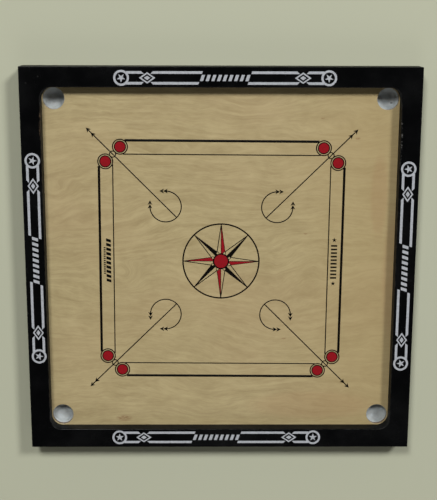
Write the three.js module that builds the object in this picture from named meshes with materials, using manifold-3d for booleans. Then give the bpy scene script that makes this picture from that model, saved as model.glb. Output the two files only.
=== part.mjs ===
// Carrom board, lying flat: a mitred black hardwood frame round a sunken plywood playing panel, with a
// moulded cup under each corner pocket and a grid of battens below. Millimetres, +Z up. The origin is on
// the surface that the board lies on, at the middle of the board. Front is -Y and right is +X.
import * as THREE from "three";
import { mergeVertices } from "three/addons/utils/BufferGeometryUtils.js";
import Module from "manifold-3d";

// --- Driving dimensions ---
const BOARD_SIDE = 813; // outside of the square frame
const RAIL_WIDTH = 41.5;
const RAIL_PROUD = 26; // rail above the playing surface
const UNDER_DEPTH = 17; // rail below the panel
const EDGE_ROUND = 2; // radius along the rails' long edges
const OUTER_CORNER_RADIUS = 3; // of the frame, seen from above
const REBATE_DEPTH = 10; // how far the panel runs in under the rails
const BLOCK_TIP = 0.6; // thickness left at the ends of a corner block
const PANEL_THICKNESS = 8;
const PANEL_CLEARANCE = 0.5; // between the panel's edge and the rebate, for seasonal movement
const POCKET_DIAMETER = 44.4;
const POCKET_MARGIN = 1.8; // playing surface left between a pocket and the frame round it
const CUP_LIP = 0.6; // how far the cup's mouth stands back from the pocket's edge
const CUP_WALL = 2;
const CUP_DRAFT = 1.8; // the cup's wall leans in by this much from its mouth to its floor
const CUP_FLOOR_ROUND = 8; // inner radius between the cup's wall and its floor
const CUP_GROUND_CLEARANCE = 2; // under the cup
const FLANGE_WIDTH = 9; // past the cup's mouth
const FLANGE_THICKNESS = 2;
const FLANGE_SCREWS = 3; // round each cup
const CLEAT_WIDTH = 20;
const CLEAT_THICKNESS = 6;
const CLEAT_END_GAP = 6; // between a cleat's end and a cup's flange
const BATTEN_WIDTH = 30;
const BATTEN_CLEARANCE = 4.8; // under the battens, for the screw heads
const BATTEN_OFFSET = 122; // from the middle of the board to a batten's centreline
const DOWEL_DIAMETER = 8;
const DOWEL_LENGTH = 26;
const DOWEL_EDGE = 12.5; // from the rail's top or underside to the dowel's axis
const SCREW_SHANK_DIAMETER = 3;
const SCREW_HEAD_DIAMETER = 6;
const SCREW_HEAD_HEIGHT = 2;
const SCREW_BITE = 1; // wood left beyond a screw's tip
const HOLE_CLEARANCE = 0.2; // round every dowel and screw
const JOINT_GAP = 0.2; // glue line between faces that meet

// --- Facets ---
const POCKET_SEGMENTS = 36;
const CORNER_SEGMENTS = 9; // in a quarter turn of the frame's corners
const ROUND_SEGMENTS = 3; // in a quarter turn of an edge
const CUP_ROUND_SEGMENTS = 4;
const PIN_SEGMENTS = 10;

// --- Levels and places that follow ---
const PANEL_UNDERSIDE = UNDER_DEPTH;
const PANEL_TOP = UNDER_DEPTH + PANEL_THICKNESS;
const RAIL_HEIGHT = PANEL_TOP + RAIL_PROUD;
const BELOW_PANEL = PANEL_UNDERSIDE - JOINT_GAP; // top of what is fixed under the panel
const CLEAT_UNDERSIDE = BELOW_PANEL - CLEAT_THICKNESS;
const FLANGE_UNDERSIDE = BELOW_PANEL - FLANGE_THICKNESS;
const OUTER_HALF = BOARD_SIDE / 2;
const WELL_HALF = OUTER_HALF - RAIL_WIDTH;
const REBATE_HALF = WELL_HALF + REBATE_DEPTH;
const CORNER_RADIUS = POCKET_DIAMETER / 2 + POCKET_MARGIN; // of the well's corners, seen from above
const POCKET_CENTRE = WELL_HALF - CORNER_RADIUS; // the pocket shares its centre with the corner's round
const CUP_MOUTH_RADIUS = POCKET_DIAMETER / 2 + CUP_LIP;
const FLANGE_RADIUS = CUP_MOUTH_RADIUS + FLANGE_WIDTH;
const FLANGE_SCREW_RADIUS = (CUP_MOUTH_RADIUS + CUP_WALL + FLANGE_RADIUS) / 2;
const CLEAT_HALF_LENGTH = POCKET_CENTRE - FLANGE_RADIUS - CLEAT_END_GAP;
const CLEAT_CENTRE = REBATE_HALF - JOINT_GAP - CLEAT_WIDTH / 2;
const OVERCUT = 1; // how far a cutter runs past the face that it cuts through
const QUARTER_TURN = Math.PI / 2;
const UP = new THREE.Vector3(0, 0, 1);

const wasm = await Module();
wasm.setup();

// --- Solids: three.js shapes joined and cut by manifold-3d ---
function solidFrom(geometry) {
  const bare = geometry.index ? geometry.toNonIndexed() : geometry.clone();
  bare.deleteAttribute("normal");
  bare.deleteAttribute("uv");
  const merged = mergeVertices(bare, 1e-4);
  const mesh = new wasm.Mesh({
    numProp: 3,
    vertProperties: merged.attributes.position.array,
    triVerts: new Uint32Array(merged.index.array),
  });
  return new wasm.Manifold(mesh);
}

function geometryFrom(solid) {
  const mesh = solid.getMesh();
  const geometry = new THREE.BufferGeometry();
  geometry.setAttribute("position", new THREE.BufferAttribute(mesh.vertProperties, 3));
  geometry.setIndex(new THREE.BufferAttribute(mesh.triVerts, 1));
  return geometry;
}

function boxBetween(low, high) {
  const size = high.map((value, i) => value - low[i]);
  const box = new THREE.BoxGeometry(...size);
  return box.translate(...low.map((value, i) => value + size[i] / 2));
}

function upright(shape, bottom, top, curveSegments = CORNER_SEGMENTS) {
  const settings = { depth: top - bottom, bevelEnabled: false, curveSegments };
  return new THREE.ExtrudeGeometry(shape, settings).translate(0, 0, bottom);
}

// A round pin along any direction, centred on a point.
function pinBetween(diameter, length, centre, direction) {
  const pin = new THREE.CylinderGeometry(diameter / 2, diameter / 2, length, PIN_SEGMENTS);
  const along = new THREE.Vector3(...direction).normalize();
  const turn = new THREE.Quaternion().setFromUnitVectors(new THREE.Vector3(0, 1, 0), along);
  return pin.applyQuaternion(turn).translate(...centre);
}

function roundedSquare(half, radius) {
  const shape = new THREE.Shape();
  const straight = half - radius;
  shape.absarc(straight, straight, radius, 0, QUARTER_TURN);
  shape.absarc(-straight, straight, radius, QUARTER_TURN, 2 * QUARTER_TURN);
  shape.absarc(-straight, -straight, radius, 2 * QUARTER_TURN, 3 * QUARTER_TURN);
  shape.absarc(straight, -straight, radius, 3 * QUARTER_TURN, 4 * QUARTER_TURN);
  shape.closePath();
  return shape;
}

// --- The frame as one milled blank, before it is divided into rails ---
// The outside of the frame, with its top and bottom edges rounded over.
function frameBlank() {
  const geometry = new THREE.ExtrudeGeometry(roundedSquare(OUTER_HALF, OUTER_CORNER_RADIUS), {
    depth: RAIL_HEIGHT - 2 * EDGE_ROUND,
    bevelThickness: EDGE_ROUND,
    bevelSize: EDGE_ROUND,
    bevelOffset: -EDGE_ROUND,
    bevelSegments: ROUND_SEGMENTS,
    curveSegments: CORNER_SEGMENTS,
  });
  return solidFrom(geometry.translate(0, 0, EDGE_ROUND));
}

// The space over the panel. It flares at its mouth, which rounds over the rails' inner top edge.
// Its lower end runs out through the open rebate, where it cuts nothing.
function wellCutter() {
  const mouth = roundedSquare(WELL_HALF + EDGE_ROUND, CORNER_RADIUS + EDGE_ROUND);
  const geometry = new THREE.ExtrudeGeometry(mouth, {
    depth: RAIL_HEIGHT,
    bevelThickness: EDGE_ROUND,
    bevelSize: -EDGE_ROUND,
    bevelSegments: ROUND_SEGMENTS,
    curveSegments: CORNER_SEGMENTS,
  });
  return solidFrom(geometry.translate(0, 0, -EDGE_ROUND));
}

function rebateCutter() {
  const low = [-REBATE_HALF, -REBATE_HALF, -OVERCUT];
  const high = [REBATE_HALF, REBATE_HALF, PANEL_TOP + JOINT_GAP];
  return solidFrom(boxBetween(low, high));
}

// --- Rails ---
// What the front rail may fill: a trapezium with 45 degree ends, half a glue line short of each mitre.
function mitreWedge() {
  const inset = JOINT_GAP * Math.SQRT1_2;
  const outerEnd = OUTER_HALF - inset;
  const innerEnd = WELL_HALF - inset;
  const outline = new THREE.Shape();
  outline.moveTo(-outerEnd, -OUTER_HALF);
  outline.lineTo(outerEnd, -OUTER_HALF);
  outline.lineTo(innerEnd, -WELL_HALF);
  outline.lineTo(-innerEnd, -WELL_HALF);
  outline.closePath();
  return solidFrom(upright(outline, -OVERCUT, RAIL_HEIGHT + OVERCUT));
}

// Two dowels cross each mitre, one above the other, square to the joint.
const DOWEL_PLACE = OUTER_HALF - (RAIL_WIDTH - REBATE_DEPTH) / 2;
const DOWEL_LEVELS = { lower: DOWEL_EDGE, upper: RAIL_HEIGHT - DOWEL_EDGE };

function dowelHole(side, level) {
  const diameter = DOWEL_DIAMETER + 2 * HOLE_CLEARANCE;
  const length = DOWEL_LENGTH + 2 * HOLE_CLEARANCE;
  const centre = [side * DOWEL_PLACE, -DOWEL_PLACE, level];
  return solidFrom(pinBetween(diameter, length, centre, [side, 1, 0]));
}

function railGeometry() {
  let rail = frameBlank().intersect(mitreWedge()).subtract(wellCutter()).subtract(rebateCutter());
  for (const side of [-1, 1]) {
    for (const level of Object.values(DOWEL_LEVELS)) {
      rail = rail.subtract(dowelHole(side, level));
    }
  }
  return geometryFrom(rail);
}

// The dowel at the front right corner, in the board's frame.
function dowelGeometry() {
  return pinBetween(DOWEL_DIAMETER, DOWEL_LENGTH, [DOWEL_PLACE, -DOWEL_PLACE, 0], [1, 1, 0]);
}

// --- Corner blocks: the infill that rounds the well behind each pocket ---
function cornerBlockGeometry() {
  const wall = WELL_HALF - JOINT_GAP;
  const tip = CORNER_RADIUS - JOINT_GAP - BLOCK_TIP;
  const leg = CORNER_RADIUS - Math.sqrt(CORNER_RADIUS ** 2 - tip ** 2);
  const low = [WELL_HALF - leg, -wall, PANEL_TOP + JOINT_GAP];
  const high = [wall, leg - WELL_HALF, RAIL_HEIGHT];
  return geometryFrom(solidFrom(boxBetween(low, high)).subtract(wellCutter()));
}

// --- Screws: a domed head below, at z = 0, and a plain shank going up from it ---
function screwGeometry(shankLength) {
  const shank = SCREW_SHANK_DIAMETER / 2;
  const head = SCREW_HEAD_DIAMETER / 2;
  const point = shank; // length of the pointed end
  const profile = [new THREE.Vector2(0, -SCREW_HEAD_HEIGHT)];
  for (let i = 1; i <= ROUND_SEGMENTS; i += 1) {
    const angle = (QUARTER_TURN * i) / ROUND_SEGMENTS;
    profile.push(new THREE.Vector2(head * Math.sin(angle), -SCREW_HEAD_HEIGHT * Math.cos(angle)));
  }
  profile.push(new THREE.Vector2(shank, 0));
  profile.push(new THREE.Vector2(shank, shankLength - point));
  profile.push(new THREE.Vector2(0, shankLength));
  return new THREE.LatheGeometry(profile, PIN_SEGMENTS).rotateX(QUARTER_TURN);
}

const CUP_SCREW_LENGTH = PANEL_TOP - SCREW_BITE - FLANGE_UNDERSIDE + JOINT_GAP;
const BATTEN_SCREW_LENGTH = BELOW_PANEL - SCREW_BITE - BATTEN_CLEARANCE + JOINT_GAP;
const SCREW_HOLE_DIAMETER = SCREW_SHANK_DIAMETER + 2 * HOLE_CLEARANCE;

function screwHole(x, y, bottom, top) {
  const centre = [x, y, (bottom + top) / 2];
  return solidFrom(pinBetween(SCREW_HOLE_DIAMETER, top - bottom, centre, UP.toArray()));
}

// The screws round the front right cup. One lies on the board's diagonal, on the side of the middle.
function flangeScrewPlaces() {
  const places = [];
  for (let i = 0; i < FLANGE_SCREWS; i += 1) {
    const angle = 1.5 * QUARTER_TURN + (4 * QUARTER_TURN * i) / FLANGE_SCREWS;
    const x = POCKET_CENTRE + FLANGE_SCREW_RADIUS * Math.cos(angle);
    const y = -POCKET_CENTRE + FLANGE_SCREW_RADIUS * Math.sin(angle);
    places.push([x, y]);
  }
  return places;
}

// A point turned by quarter turns about the board's middle.
function turned([x, y], quarters) {
  const point = new THREE.Vector3(x, y, 0).applyAxisAngle(UP, QUARTER_TURN * quarters);
  return [point.x, point.y];
}

// --- Playing panel ---
function panelGeometry() {
  const half = REBATE_HALF - PANEL_CLEARANCE;
  const low = [-half, -half, PANEL_UNDERSIDE];
  const high = [half, half, PANEL_TOP];
  let panel = solidFrom(boxBetween(low, high));
  const radius = POCKET_DIAMETER / 2;
  for (let corner = 0; corner < 4; corner += 1) {
    const [x, y] = turned([POCKET_CENTRE, -POCKET_CENTRE], corner);
    const pocket = new THREE.CylinderGeometry(radius, radius, PANEL_THICKNESS + 2 * OVERCUT, POCKET_SEGMENTS);
    pocket.rotateX(QUARTER_TURN).translate(x, y, PANEL_TOP - PANEL_THICKNESS / 2);
    panel = panel.subtract(solidFrom(pocket));
    for (const place of flangeScrewPlaces()) {
      const top = PANEL_TOP - SCREW_BITE + HOLE_CLEARANCE;
      panel = panel.subtract(screwHole(...turned(place, corner), PANEL_UNDERSIDE - OVERCUT, top));
    }
  }
  return geometryFrom(panel);
}

// --- Pocket cups: one moulding with a bowl and a flange ---
function cupProfile() {
  const floor = CUP_GROUND_CLEARANCE + CUP_WALL;
  const innerRound = Math.min(CUP_FLOOR_ROUND, FLANGE_UNDERSIDE - floor);
  const outerRound = innerRound + CUP_WALL;
  const centre = CUP_MOUTH_RADIUS - CUP_DRAFT - innerRound;
  const profile = [new THREE.Vector2(0, CUP_GROUND_CLEARANCE)];
  for (let i = 0; i <= CUP_ROUND_SEGMENTS; i += 1) {
    const angle = (QUARTER_TURN * i) / CUP_ROUND_SEGMENTS;
    const x = centre + outerRound * Math.sin(angle);
    profile.push(new THREE.Vector2(x, floor + innerRound - outerRound * Math.cos(angle)));
  }
  profile.push(new THREE.Vector2(CUP_MOUTH_RADIUS + CUP_WALL, FLANGE_UNDERSIDE));
  profile.push(new THREE.Vector2(FLANGE_RADIUS, FLANGE_UNDERSIDE));
  profile.push(new THREE.Vector2(FLANGE_RADIUS, BELOW_PANEL));
  profile.push(new THREE.Vector2(CUP_MOUTH_RADIUS, BELOW_PANEL));
  for (let i = CUP_ROUND_SEGMENTS; i >= 0; i -= 1) {
    const angle = (QUARTER_TURN * i) / CUP_ROUND_SEGMENTS;
    const x = centre + innerRound * Math.sin(angle);
    profile.push(new THREE.Vector2(x, floor + innerRound * (1 - Math.cos(angle))));
  }
  profile.push(new THREE.Vector2(0, floor));
  return profile;
}

// The front right cup, in the board's frame.
function cupGeometry() {
  const bowl = new THREE.LatheGeometry(cupProfile(), POCKET_SEGMENTS).rotateX(QUARTER_TURN);
  let cup = solidFrom(bowl.translate(POCKET_CENTRE, -POCKET_CENTRE, 0));
  for (const place of flangeScrewPlaces()) {
    cup = cup.subtract(screwHole(...place, FLANGE_UNDERSIDE - OVERCUT, BELOW_PANEL + OVERCUT));
  }
  return geometryFrom(cup);
}

// --- Cleats: strips in the rebate that hold the panel up against the rails ---
// The front cleat, with a hole for the screw at each batten's end.
function cleatGeometry() {
  const low = [-CLEAT_HALF_LENGTH, -CLEAT_CENTRE - CLEAT_WIDTH / 2, CLEAT_UNDERSIDE];
  const high = [CLEAT_HALF_LENGTH, -CLEAT_CENTRE + CLEAT_WIDTH / 2, BELOW_PANEL];
  let cleat = solidFrom(boxBetween(low, high));
  for (const x of [-BATTEN_OFFSET, BATTEN_OFFSET]) {
    const top = BELOW_PANEL - SCREW_BITE + HOLE_CLEARANCE;
    cleat = cleat.subtract(screwHole(x, -CLEAT_CENTRE, CLEAT_UNDERSIDE - OVERCUT, top));
  }
  return geometryFrom(cleat);
}

// --- Battens: a grid under the panel, halved where they cross ---
// A batten along X. Its ends are halved to pass under the cleats, and it is notched on its upper side,
// or on its lower side, where two others cross it.
function battenGeometry(notchSide) {
  const end = REBATE_HALF - JOINT_GAP;
  const half = BATTEN_WIDTH / 2;
  const low = [-end, -half, BATTEN_CLEARANCE];
  const high = [end, half, BELOW_PANEL];
  let batten = solidFrom(boxBetween(low, high));
  const shoulder = CLEAT_CENTRE - CLEAT_WIDTH / 2 - JOINT_GAP;
  const middle = (BATTEN_CLEARANCE + BELOW_PANEL) / 2;
  const notch = half + JOINT_GAP;
  const upper = [middle - JOINT_GAP / 2, BELOW_PANEL + OVERCUT];
  const lower = [BATTEN_CLEARANCE - OVERCUT, middle + JOINT_GAP / 2];
  const [notchBottom, notchTop] = notchSide === "upper" ? upper : lower;
  for (const side of [-1, 1]) {
    const [near, far] = [shoulder, end + OVERCUT].map((x) => side * x);
    const lapLow = [Math.min(near, far), -half - OVERCUT, CLEAT_UNDERSIDE - JOINT_GAP];
    const lapHigh = [Math.max(near, far), half + OVERCUT, BELOW_PANEL + OVERCUT];
    batten = batten.subtract(solidFrom(boxBetween(lapLow, lapHigh)));
    const notchLow = [side * BATTEN_OFFSET - notch, -half - OVERCUT, notchBottom];
    const notchHigh = [side * BATTEN_OFFSET + notch, half + OVERCUT, notchTop];
    batten = batten.subtract(solidFrom(boxBetween(notchLow, notchHigh)));
    const x = side * CLEAT_CENTRE;
    batten = batten.subtract(screwHole(x, 0, BATTEN_CLEARANCE - OVERCUT, BELOW_PANEL));
  }
  return geometryFrom(batten);
}

// --- Materials ---
function finish(color, roughness, metalness = 0) {
  return new THREE.MeshStandardMaterial({ color, roughness, metalness, flatShading: true });
}
const blackLacquer = finish(0x0c0c0e, 0.28);
const lacqueredPly = finish(0xaa9870, 0.35);
const rawSoftwood = finish(0xb99a6b, 0.75);
const beech = finish(0xc9a474, 0.7);
const whitePlastic = finish(0xc2c6c6, 0.4);
const zincSteel = finish(0xb8bcc2, 0.35, 0.9);

// --- Assembly ---
const board = new THREE.Group();

function place(name, geometry, material, parent = board) {
  const mesh = new THREE.Mesh(geometry, material);
  mesh.name = name;
  parent.add(mesh);
  return mesh;
}

place("playing_panel", panelGeometry(), lacqueredPly);

// Quarter turns carry the front side's pieces, and those of its right corner, round the board.
const SIDES = ["front", "right", "back", "left"];
const CORNERS = ["front_right", "back_right", "back_left", "front_left"];
const rail = railGeometry();
const cleat = cleatGeometry();
const block = cornerBlockGeometry();
const cup = cupGeometry();
const dowel = dowelGeometry();
const cupScrew = screwGeometry(CUP_SCREW_LENGTH);
const battenScrew = screwGeometry(BATTEN_SCREW_LENGTH);

for (let quarter = 0; quarter < SIDES.length; quarter += 1) {
  const side = new THREE.Group();
  side.rotation.z = QUARTER_TURN * quarter;
  board.add(side);
  const sideName = SIDES[quarter];
  const cornerName = CORNERS[quarter];
  place(`rail_${sideName}`, rail, blackLacquer, side);
  place(`cleat_${sideName}`, cleat, rawSoftwood, side);
  place(`corner_block_${cornerName}`, block, blackLacquer, side);
  place(`pocket_cup_${cornerName}`, cup, whitePlastic, side);
  for (const [level, height] of Object.entries(DOWEL_LEVELS)) {
    place(`dowel_${cornerName}_${level}`, dowel, beech, side).position.z = height;
  }
  flangeScrewPlaces().forEach(([x, y], i) => {
    const screw = place(`cup_screw_${cornerName}_${i + 1}`, cupScrew, zincSteel, side);
    screw.position.set(x, y, FLANGE_UNDERSIDE - JOINT_GAP);
  });
  [-BATTEN_OFFSET, BATTEN_OFFSET].forEach((x, i) => {
    const screw = place(`batten_screw_${sideName}_${i + 1}`, battenScrew, zincSteel, side);
    screw.position.set(x, -CLEAT_CENTRE, BATTEN_CLEARANCE - JOINT_GAP);
  });
}

const longBatten = battenGeometry("upper");
const crossBatten = battenGeometry("lower");
for (const side of [-1, 1]) {
  const long = place(side < 0 ? "long_batten_front" : "long_batten_back", longBatten, rawSoftwood);
  long.position.y = side * BATTEN_OFFSET;
  const cross = place(side < 0 ? "cross_batten_left" : "cross_batten_right", crossBatten, rawSoftwood);
  cross.rotation.z = QUARTER_TURN;
  cross.position.x = side * BATTEN_OFFSET;
}

export default board;
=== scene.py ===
import math

import bmesh
import bpy
from mathutils import Matrix, Vector


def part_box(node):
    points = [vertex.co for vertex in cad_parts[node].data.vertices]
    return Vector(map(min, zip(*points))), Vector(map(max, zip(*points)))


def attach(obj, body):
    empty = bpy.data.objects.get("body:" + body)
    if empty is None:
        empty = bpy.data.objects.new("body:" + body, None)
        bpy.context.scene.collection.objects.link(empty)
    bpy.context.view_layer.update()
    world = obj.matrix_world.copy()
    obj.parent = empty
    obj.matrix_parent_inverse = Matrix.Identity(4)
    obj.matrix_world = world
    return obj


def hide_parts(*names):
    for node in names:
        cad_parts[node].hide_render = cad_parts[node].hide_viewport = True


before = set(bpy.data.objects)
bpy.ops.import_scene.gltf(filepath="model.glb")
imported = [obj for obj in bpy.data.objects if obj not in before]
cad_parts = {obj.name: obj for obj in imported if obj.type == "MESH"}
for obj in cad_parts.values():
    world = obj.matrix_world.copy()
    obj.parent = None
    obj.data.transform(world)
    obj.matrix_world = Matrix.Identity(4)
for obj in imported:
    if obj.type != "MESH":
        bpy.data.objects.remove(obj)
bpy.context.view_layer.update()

# ----------------------------------------
# Rails: four lengths of hardwood, run through a moulder, rebated below for the panel and mitred at 45
# degrees. They are glued and dowelled into a square, then sprayed black and rubbed to a soft gloss.
# ----------------------------------------
MM = 0.001
SIDES = ("front", "right", "back", "left")
CORNERS = ("front_right", "back_right", "back_left", "front_left")  # in the order of quarter turns
rail_low, rail_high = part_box("rail_front")
panel_low, panel_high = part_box("playing_panel")
cup_low, cup_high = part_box("pocket_cup_front_right")
OUTER = -rail_low.y
WELL = -rail_high.y
INK_FILM = 0.05 * MM
RAIL_TOP = rail_high.z - INK_FILM  # the print on the frame is the highest thing on the board
PANEL_TOP = panel_high.z
POCKET = (cup_low.x + cup_high.x) / 2  # a pocket's centre, along X and along Y
WELL_CORNER = WELL - POCKET
REBATE = panel_high.x + 0.5 * MM
EDGE_ROUND = 2 * MM  # along the well
OUTSIDE_ROUND = 1.2 * MM
PLAN_ROUND = 1.5 * MM  # the frame's outer corners, seen from above
HAIRLINE = 0.05 * MM  # between two parts that are glued together
ROUND_STEPS = 6


def quarter_arc(steps):
    return [math.pi / 2 * i / steps for i in range(steps + 1)]


def quarter_turn(quarters):
    return Matrix.Rotation(math.pi / 2 * quarters, 4, "Z")


def add_mesh(name, vertices, faces):
    mesh = bpy.data.meshes.new(name)
    mesh.from_pydata([tuple(v) for v in vertices], [], faces)
    piece = bpy.data.objects.new(name, mesh)
    bpy.context.scene.collection.objects.link(piece)
    return piece


def clean(piece, merge=0.002 * MM):
    """Welds the doubles, drops what has no area, and turns every face outwards."""
    work = bmesh.new()
    work.from_mesh(piece.data)
    bmesh.ops.remove_doubles(work, verts=work.verts, dist=merge)
    bmesh.ops.dissolve_degenerate(work, edges=work.edges, dist=merge / 2)
    bmesh.ops.recalc_face_normals(work, faces=work.faces)
    work.to_mesh(piece.data)
    work.free()
    return piece


def settle(piece):
    """Makes the piece's mesh what its modifiers make of it."""
    shown = piece.evaluated_get(bpy.context.evaluated_depsgraph_get())
    mesh = bpy.data.meshes.new_from_object(shown)
    piece.modifiers.clear()
    piece.data = mesh
    return piece


def smooth(piece, crease=35):
    """Round surfaces shade smooth, and flat ones stay flat up to their edges."""
    piece.data.shade_smooth()
    piece.data.set_sharp_from_angle(angle=math.radians(crease))
    weighting = piece.modifiers.new("even_shading", "WEIGHTED_NORMAL")
    weighting.keep_sharp = True
    return piece


def cut(piece, cutters):
    """Takes the cutters out of the piece, then removes them."""
    for cutter in cutters:
        taking = piece.modifiers.new("cut", "BOOLEAN")
        taking.operation = "DIFFERENCE"
        taking.solver = "EXACT"
        taking.object = cutter
    settle(piece)
    for cutter in cutters:
        bpy.data.objects.remove(cutter)
    return clean(piece)


def fit(piece, slot, material, *nodes):
    """The piece is finished: it gets its material, rides on the board and stands for its nodes."""
    piece.data.materials.clear()
    piece.data.materials.append(material)
    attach(piece, "root")
    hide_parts(*nodes)
    return piece


def strip_faces(strips, count, closed=True, looped=False):
    """Quads between strips of that many vertices. Closed joins the last strip to the first one, and
    looped joins each strip's last vertex to its first."""
    faces = []
    for k in range(strips if closed else strips - 1):
        here, there = count * k, count * ((k + 1) % strips)
        for i in range(count if looped else count - 1):
            after = (i + 1) % count
            faces.append((here + i, there + i, there + after, here + after))
    return faces


def lathe(name, profile, segments, centre=(0, 0, 0), axis=None):
    """A turned solid. The profile is (radius, height) from the axis out and back to the axis."""
    vertices = []
    for k in range(segments):
        angle = 2 * math.pi * k / segments
        for radius, height in profile:
            vertices.append(Vector((radius * math.cos(angle), radius * math.sin(angle), height)))
    faces = strip_faces(segments, len(profile))
    turn = Vector((0, 0, 1)).rotation_difference(Vector(axis or (0, 0, 1))).to_matrix().to_4x4()
    place = Matrix.Translation(centre) @ turn
    return clean(add_mesh(name, [place @ v for v in vertices], faces))


def rail_section():
    """The front rail's section as (distance out from the board's middle, height), as one loop."""
    ceiling = PANEL_TOP + HAIRLINE
    loop = [(WELL, ceiling)]
    for angle in quarter_arc(ROUND_STEPS):
        rise = EDGE_ROUND * math.sin(angle)
        loop.append((WELL + EDGE_ROUND * (1 - math.cos(angle)), RAIL_TOP - EDGE_ROUND + rise))
    for angle in quarter_arc(ROUND_STEPS):
        reach = OUTSIDE_ROUND * (1 - math.sin(angle))
        loop.append((OUTER - reach, RAIL_TOP - OUTSIDE_ROUND * (1 - math.cos(angle))))
    for angle in quarter_arc(ROUND_STEPS):
        reach = OUTSIDE_ROUND * (1 - math.cos(angle))
        loop.append((OUTER - reach, OUTSIDE_ROUND * (1 - math.sin(angle))))
    loop.append((REBATE, 0))
    loop.append((REBATE, ceiling))
    return loop


def along_half_rail(out):
    """Where one line of the section runs, from the middle of the front rail to its right mitre."""
    fade_steps, corner_steps = 8, 6
    fade_reach = math.sqrt((WELL_CORNER + EDGE_ROUND) ** 2 - WELL_CORNER**2)
    straight = OUTER - PLAN_ROUND
    inner_edge = out <= WELL + EDGE_ROUND
    corner = max(0, out - straight)
    fade_end = POCKET + fade_reach if inner_edge else min(out, straight) - MM * (corner == 0)
    points = []
    for i in range(fade_steps + 1):
        x = POCKET + (fade_end - POCKET) * i / fade_steps
        y = out
        if inner_edge:
            # the round on the well's edge leaves the rail where the corner block takes over
            radius = WELL_CORNER + out - WELL
            y = max(WELL, POCKET + math.sqrt(max(0, radius**2 - (x - POCKET) ** 2)))
        points.append((x, -y))
    if inner_edge:
        out = WELL
    for i in range(1, corner_steps + 1):
        share = i / corner_steps
        if corner:
            angle = math.pi / 4 * share
            x = straight + corner * math.sin(angle)
            y = straight + corner * math.cos(angle)
        else:
            x = fade_end + (out - fade_end) * share
            y = out
        points.append((x - HAIRLINE * share, -y))
    return points


def make_rail(name, quarters):
    section = rail_section()
    vertices = []
    for out, height in section:
        half = along_half_rail(out)
        whole = [(-x, y) for x, y in reversed(half)] + half
        vertices += [quarter_turn(quarters) @ Vector((x, y, height)) for x, y in whole]
    rows, columns = len(section), len(vertices) // len(section)
    faces = strip_faces(rows, columns)
    faces.append([columns * i for i in range(rows)])
    faces.append([columns * i + columns - 1 for i in range(rows)])
    return clean(add_mesh(name, vertices, faces))


DOWEL_SLACK = 0.2 * MM
dowel_low, dowel_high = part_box("dowel_front_right_lower")
DOWEL_RADIUS = (dowel_high.z - dowel_low.z) / 2
DOWEL_LENGTH = (dowel_high.x - dowel_low.x) * math.sqrt(2) - 2 * DOWEL_RADIUS


def dowel_place(corner, level):
    low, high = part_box(f"dowel_{corner}_{level}")
    return (low + high) / 2


def dowel_direction(quarters):
    """Along a dowel: it crosses the mitre square to the joint."""
    return quarter_turn(quarters) @ Vector((1, 1, 0)).normalized()


def dowel_cutters(quarters):
    """The holes in both ends of one rail."""
    radius, half = DOWEL_RADIUS + DOWEL_SLACK, DOWEL_LENGTH / 2 + DOWEL_SLACK
    profile = [(0, -half), (radius, -half), (radius, half), (0, half)]
    cutters = []
    for corner in (quarters, quarters - 1):
        for level in ("lower", "upper"):
            centre = dowel_place(CORNERS[corner], level)
            cutters.append(lathe("dowel_hole", profile, 24, centre, dowel_direction(corner)))
    return cutters


def node_of(tree, kind, inputs, **settings):
    """Adds a node. An input is a plain value, or another node's output."""
    made = tree.nodes.new(kind)
    for label, value in settings.items():
        setattr(made, label, value)
    for label, value in inputs.items():
        if isinstance(value, bpy.types.NodeSocket):
            tree.links.new(value, made.inputs[label])
        else:
            made.inputs[label].default_value = value
    return made


def put(tree, kind, inputs, **settings):
    """Adds a node and gives its first output."""
    return node_of(tree, kind, inputs, **settings).outputs[0]


def maths(tree, operation, *values):
    return put(tree, "ShaderNodeMath", dict(enumerate(values)), operation=operation)


def plus(tree, first, second):
    return maths(tree, "ADD", first, second)


def minus(tree, first, second):
    return maths(tree, "SUBTRACT", first, second)


def times(tree, first, second):
    return maths(tree, "MULTIPLY", first, second)


def times_plus(tree, first, second, third):
    """First times second, plus third."""
    return maths(tree, "MULTIPLY_ADD", first, second, third)


def larger(tree, first, second):
    return maths(tree, "MAXIMUM", first, second)


def vector(tree, x=0.0, y=0.0, z=0.0):
    return put(tree, "ShaderNodeCombineXYZ", {0: x, 1: y, 2: z})


def axes(tree, place):
    """A place's X, Y and Z, as three outputs."""
    return node_of(tree, "ShaderNodeSeparateXYZ", {0: place}).outputs


def new_material(name):
    """A material with an empty Principled shader and the piece's own coordinates, in metres."""
    material = bpy.data.materials.new(name)
    material.use_nodes = True
    tree = material.node_tree
    shader = tree.nodes["Principled BSDF"]
    place = tree.nodes.new("ShaderNodeTexCoord").outputs["Object"]
    return material, tree, shader, place


def noise(tree, place, scale, detail=3.0, roughness=0.5, distortion=0.0):
    """A random pattern, 0 to 1. The scale is how many features there are to a metre, in one number or
    along X, Y and Z."""
    scales = scale if isinstance(scale, tuple) else (scale,) * 3
    stretched = put(tree, "ShaderNodeMapping", {"Vector": place, "Scale": scales})
    inputs = {"Vector": stretched, "Scale": 1.0, "Detail": detail}
    inputs |= {"Roughness": roughness, "Distortion": distortion}
    return put(tree, "ShaderNodeTexNoise", inputs)


def ramp(tree, value, low, high, bottom=0.0, top=1.0):
    """A smooth step: bottom below low, top above high."""
    inputs = {"Value": value, "From Min": low, "From Max": high, "To Min": bottom, "To Max": top}
    return put(tree, "ShaderNodeMapRange", inputs, interpolation_type="SMOOTHSTEP")


def blend(tree, share, first, second):
    """A colour between two, by the share. Each is red, green and blue, or another node's output."""
    inputs = {0: share}
    for socket, colour in ((6, first), (7, second)):
        inputs[socket] = (*colour, 1) if isinstance(colour, tuple) else colour
    return node_of(tree, "ShaderNodeMix", inputs, data_type="RGBA").outputs[2]


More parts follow.
